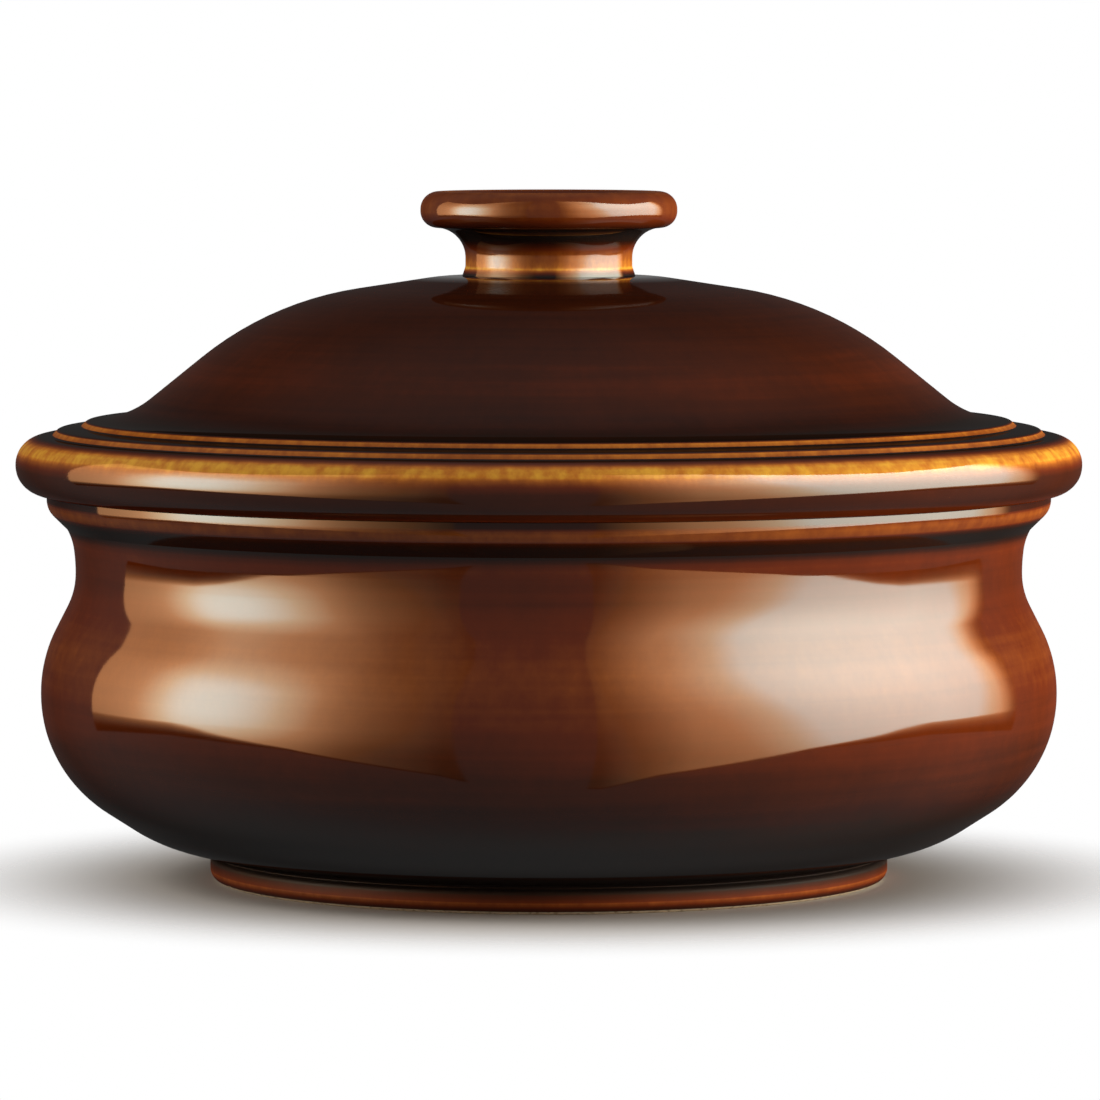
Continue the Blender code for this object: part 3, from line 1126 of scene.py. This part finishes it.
@dataclass
class Studio:
    """The floor, the background, the grey walls, the soft boxes and the lamps."""

    floor_radius: float = 92.0
    floor_fade: float = 45.0
    floor_colour: str = "D0CECA"
    floor_segments: int = 128
    wall_radius: float = 1600.0
    wall_segments: tuple[int, int] = (48, 24)
    wall_level: float = 0.18
    ambient: float = 0.1
    boxes: tuple[SoftBox, ...] = (
        SoftBox(
            Side.LEFT,
            13.0,
            ((20, 0.03), (26, 0.06), (38, 0.2), (46, 0.34), (53, 0.6), (61, 0.82), (69, 0.95),
             (77, 1.0), (86, 0.96), (92, 0.81), (98, 0.58), (104, 0.42), (112, 0.34), (119, 0.32)),
            ((-50, 0.25), (-22, 0.3), (-14, 0.55), (-6, 0.95), (2, 1.0), (16, 1.0), (24, 0.78),
             (32, 0.65), (40, 0.4), (66, 0.35)),
            BOX_LOWER_EDGE,
            BOX_UPPER_EDGE,
        ),
        SoftBox(
            Side.RIGHT,
            14.4,
            ((10, 0.017), (16, 0.13), (23, 0.28), (30, 0.48), (45, 0.76), (60, 0.98), (76, 1.0),
             (94, 0.83), (104, 0.69), (116, 0.64), (119.5, 0.42), (122, 0.15), (124.5, 0.0)),
            ((-50, 0.4), (-20, 0.5), (-12, 0.61), (-4, 0.7), (5, 0.79), (14, 0.9), (24, 1.0),
             (36, 0.98), (46, 0.82), (66, 0.65)),
            BOX_LOWER_EDGE,
            BOX_UPPER_EDGE,
            first_bearing=10.0,
            last_bearing=124.5,
            white_levels=((10, 0.0), (42, 0.0), (64, 0.42), (84, 0.66), (106, 0.58), (119, 0.0),
                          (124.5, 0.0)),
        ),
    )
    lamps: tuple[SideLamp, ...] = (
        SideLamp(Side.RIGHT, 19.0, 82.0, 3.0),
        SideLamp(Side.LEFT, 5.0, 66.0, 30.0),
    )

    def stage(self, item: Object) -> None:
        """Log the name of an object of the studio."""
        LOG.info("stage: %s", item.name)

    def only_mirrored(self, item: Object) -> None:
        """Let an object of the studio show in reflections alone."""
        for rays in ("camera", "diffuse", "transmission", "shadow", "volume_scatter"):
            setattr(item, "visible_" + rays, False)

    def build_world(self) -> None:
        """Make a world that is white to the eye and in mirrors, and lends a little even light."""
        world = bpy.data.worlds.new("white_studio")
        bpy.context.scene.world = world
        add = partial(add_node, new_tree(world))
        seen = add("LightPath", out="Is Camera Ray")
        rays = seen.node.outputs
        for kind in ("Is Glossy Ray", "Is Transmission Ray"):
            seen = add("Math", {0: seen, 1: rays[kind]}, operation="MAXIMUM")
        strength = add("MapRange", {"Value": seen, "To Min": self.ambient, "To Max": 1.0})
        white = add("Background", {"Color": WHITE, "Strength": strength})
        add("OutputWorld", {"Surface": white})

    def build_floor(self) -> None:
        """Make the pale round floor, which fades into the background at its edge."""
        made = bmesh.new()
        bmesh.ops.create_circle(
            made, cap_ends=True, radius=self.floor_radius * MM, segments=self.floor_segments
        )
        material = bpy.data.materials.new("matt_white_card")
        add = partial(add_node, new_tree(material))
        place = add("TexCoord", out="Object")
        radius = add("VectorMath", {0: place}, "Value", operation="LENGTH")
        fade = add(
            "MapRange",
            {"Value": radius, "From Min": self.floor_fade * MM, "From Max": self.floor_radius * MM},
            interpolation_type="SMOOTHSTEP",
        )
        card = add("BsdfDiffuse", {"Color": linear(self.floor_colour)})
        clear = add("BsdfTransparent")
        surface = add("MixShader", {0: fade, 1: card, 2: clear})
        add("OutputMaterial", {"Surface": surface})
        floor = as_object("floor", made, [material])
        floor.visible_glossy = False
        self.stage(floor)

    def build_walls(self) -> None:
        """Make the grey walls that the glaze mirrors all round."""
        made = bmesh.new()
        around, upward = self.wall_segments
        bmesh.ops.create_uvsphere(
            made, u_segments=around, v_segments=upward, radius=self.wall_radius * MM
        )
        material = bpy.data.materials.new("grey_studio_wall")
        add = partial(add_node, new_tree(material))
        grey = add("Emission", {"Color": WHITE, "Strength": self.wall_level})
        add("OutputMaterial", {"Surface": grey})
        walls = as_object("studio_walls", made, [material])
        self.only_mirrored(walls)
        self.stage(walls)

    def build_box(self, box: SoftBox) -> None:
        """Make a soft box: a band of two strips spun round the pot, each row set to its height.

        Args:
            box: The soft box to make.
        """
        name = "soft_box_" + box.side.name.lower()
        made = bmesh.new()
        full = made.verts.layers.float.new("full")
        reach = box.distance * MM
        # At first the height of a point is just the number of its row
        tip = made.verts.new((0.0, -reach, BoxRow.FADED))
        for row in (BoxRow.FULL, BoxRow.TOP):
            tip = bmesh.ops.extrude_vert_indiv(made, verts=[tip])["verts"][0]
            tip.co.z = row
        sweep = math.radians(box.last_bearing - box.first_bearing)
        turned = math.radians(box.first_bearing) * box.side.value
        bmesh.ops.rotate(
            made, verts=made.verts[:], cent=(0.0, 0.0, 0.0), matrix=Matrix.Rotation(turned, 3, "Z")
        )
        bmesh.ops.spin(
            made,
            geom=made.verts[:] + made.edges[:],
            cent=(0.0, 0.0, 0.0),
            axis=(0.0, 0.0, box.side.value),
            angle=sweep,
            steps=math.ceil((box.last_bearing - box.first_bearing) / box.bearing_step),
        )
        for vert in made.verts:
            bearing = math.degrees(math.atan2(vert.co.x * box.side.value, -vert.co.y))
            row = BoxRow(round(vert.co.z))
            edge = between(box.upper_edge if row is BoxRow.TOP else box.lower_edge, bearing)
            if row is BoxRow.FADED:
                edge -= between(box.lower_fade, bearing)
            vert[full] = 0.0 if row is BoxRow.FADED else 1.0
            vert.co.z = box.centre_height * MM + reach * math.tan(math.radians(edge))
        panel = as_object(name, made, [self.box_material(box, name)])
        self.only_mirrored(panel)
        self.stage(panel)

    def box_material(self, box: SoftBox, name: str) -> Material:
        """Make the glow of a soft box: its brightness by bearing and height, warm where it is dim.

        Args:
            box: The soft box.
            name: Name of the material.

        Returns:
            An emission material.
        """
        material = bpy.data.materials.new(name)
        add = partial(add_node, new_tree(material))
        place = add("TexCoord", out="Object")
        across, back, up = add("SeparateXYZ", {0: place}).node.outputs
        aside = add("Math", {0: across, 1: box.side.value}, operation="MULTIPLY")
        front = add("Math", {0: back, 1: -1.0}, operation="MULTIPLY")
        bearing = add("Math", {0: aside, 1: front}, operation="ARCTAN2")
        rise = add("Math", {0: up, 1: box.centre_height * MM}, operation="SUBTRACT")
        height = add("Math", {0: rise, 1: box.distance * MM}, operation="ARCTAN2")
        leaning = add("Math", {0: height, 1: box.lean, 2: bearing}, operation="MULTIPLY_ADD")
        levels = []
        for angle, table in (
            (leaning, box.bearing_levels),
            (height, box.height_levels),
            (bearing, box.white_levels),
        ):
            start, end = table[0][0], table[-1][0]
            share = add(
                "MapRange",
                {"Value": angle, "From Min": math.radians(start), "From Max": math.radians(end)},
            )
            stops = [
                ((at - start) / (end - start), (value, value, value, 1.0)) for at, value in table
            ]
            levels.append(add("ValToRGB", {"Fac": share}, stops=stops))
            levels[-1].node.color_ramp.interpolation = "B_SPLINE"
        by_bearing, by_height, by_white = levels
        full = add("Attribute", out="Fac", attribute_name="full")
        soft = add("Math", {0: full, 1: box.edge_power}, operation="POWER")
        bright = add("Math", {0: by_bearing, 1: by_height}, operation="MULTIPLY")
        glow = add("Math", {0: bright, 1: soft}, operation="MULTIPLY")
        white = add("Math", {0: by_white, 1: soft, 2: glow}, operation="MULTIPLY_ADD")
        tints = [(at, linear(code)) for at, code in box.tints]
        tint = add("ValToRGB", {"Fac": white}, stops=tints)
        strength = add("Math", {0: glow, 1: box.peak}, operation="MULTIPLY")
        light = add("Emission", {"Color": tint, "Strength": strength})
        add("OutputMaterial", {"Surface": light})
        return material

    def build_lamp(self, lamp: SideLamp) -> None:
        """Make a soft lamp that lights colour and shadow but shows in no reflection.

        Args:
            lamp: The lamp to make.
        """
        name = "side_lamp_" + lamp.side.name.lower()
        data = bpy.data.lights.new(name, "AREA")
        data.energy = lamp.watts
        data.size = lamp.size * MM
        data.color = linear(lamp.colour)[:3]
        item = bpy.data.objects.new(name, data)
        bearing, height = math.radians(lamp.bearing), math.radians(lamp.height)
        away = Vector((
            lamp.side.value * math.sin(bearing) * math.cos(height),
            -math.cos(bearing) * math.cos(height),
            math.sin(height),
        ))
        item.location = away * lamp.distance * MM
        item.rotation_euler = away.to_track_quat("Z", "Y").to_euler()
        item.visible_camera = False
        item.visible_glossy = False
        bpy.context.scene.collection.objects.link(item)
        LOG.info("lamp: %s", name)

    def build(self) -> None:
        """Make the whole studio."""
        self.build_world()
        self.build_floor()
        self.build_walls()
        for box in self.boxes:
            self.build_box(box)
        for lamp in self.lamps:
            self.build_lamp(lamp)


@dataclass(frozen=True)
class PhotoCamera:
    """The camera where the photograph was taken from: a long lens, a little above the pot."""

    back: float = 986.0
    height: float = 107.5
    aside: float = 0.15
    aim_height: float = 43.3
    lens: float = 245.8
    sensor: float = 36.0
    nearest: float = 10.0
    farthest: float = 20000.0

    def build(self) -> None:
        """Make the camera and look through it."""
        data = bpy.data.cameras.new("photo_camera")
        data.lens = self.lens
        data.sensor_width = self.sensor
        data.sensor_fit = "HORIZONTAL"
        data.clip_start = self.nearest * MM
        data.clip_end = self.farthest * MM
        item = bpy.data.objects.new("photo_camera", data)
        item.location = Vector((self.aside, -self.back, self.height)) * MM
        aim = Vector((self.aside, 0.0, self.aim_height)) * MM
        item.rotation_euler = (aim - item.location).to_track_quat("-Z", "Y").to_euler()
        bpy.context.scene.collection.objects.link(item)
        bpy.context.scene.camera = item
        LOG.info("camera: %s", item.name)


def main() -> None:
    """Build the pieces, the studio and the camera in order."""
    logging.basicConfig(level=logging.INFO, format="%(message)s")
    bpy.context.scene.view_settings.view_transform = "Standard"
    clay = BareStoneware("buff_stoneware_unglazed").build()
    pot_glaze = TreacleGlaze("treacle_glaze_pot").build()
    lid_glaze = TreacleGlaze(
        "treacle_glaze_lid", sheltered=(13.5, 18.0), worn_dome=(62.0, 64.5)
    ).build()
    knob_glaze = TreacleGlaze("treacle_glaze_knob", streak_girth=14.0, streak_width=1.6).build()
    fine = FineTurning()

    pot = Pot(fine, pot_glaze, clay)
    pot.build("pot_body_glazed", "pot", "pot_body", "pot_glaze", 0.0)
    lid = Lid(fine, lid_glaze, clay)
    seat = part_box("lid")[0].z + lid.flange_depth * MM
    lid.build("lid_glazed", "lid", "lid_body", "lid_glaze", seat)
    knob = Knob(fine, knob_glaze, clay)
    knob.build("knob_glazed", "knob", "lid_body", "knob_glaze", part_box("knob")[0].z)

    Studio().build()
    PhotoCamera().build()


if __name__ == "__main__":
    main()
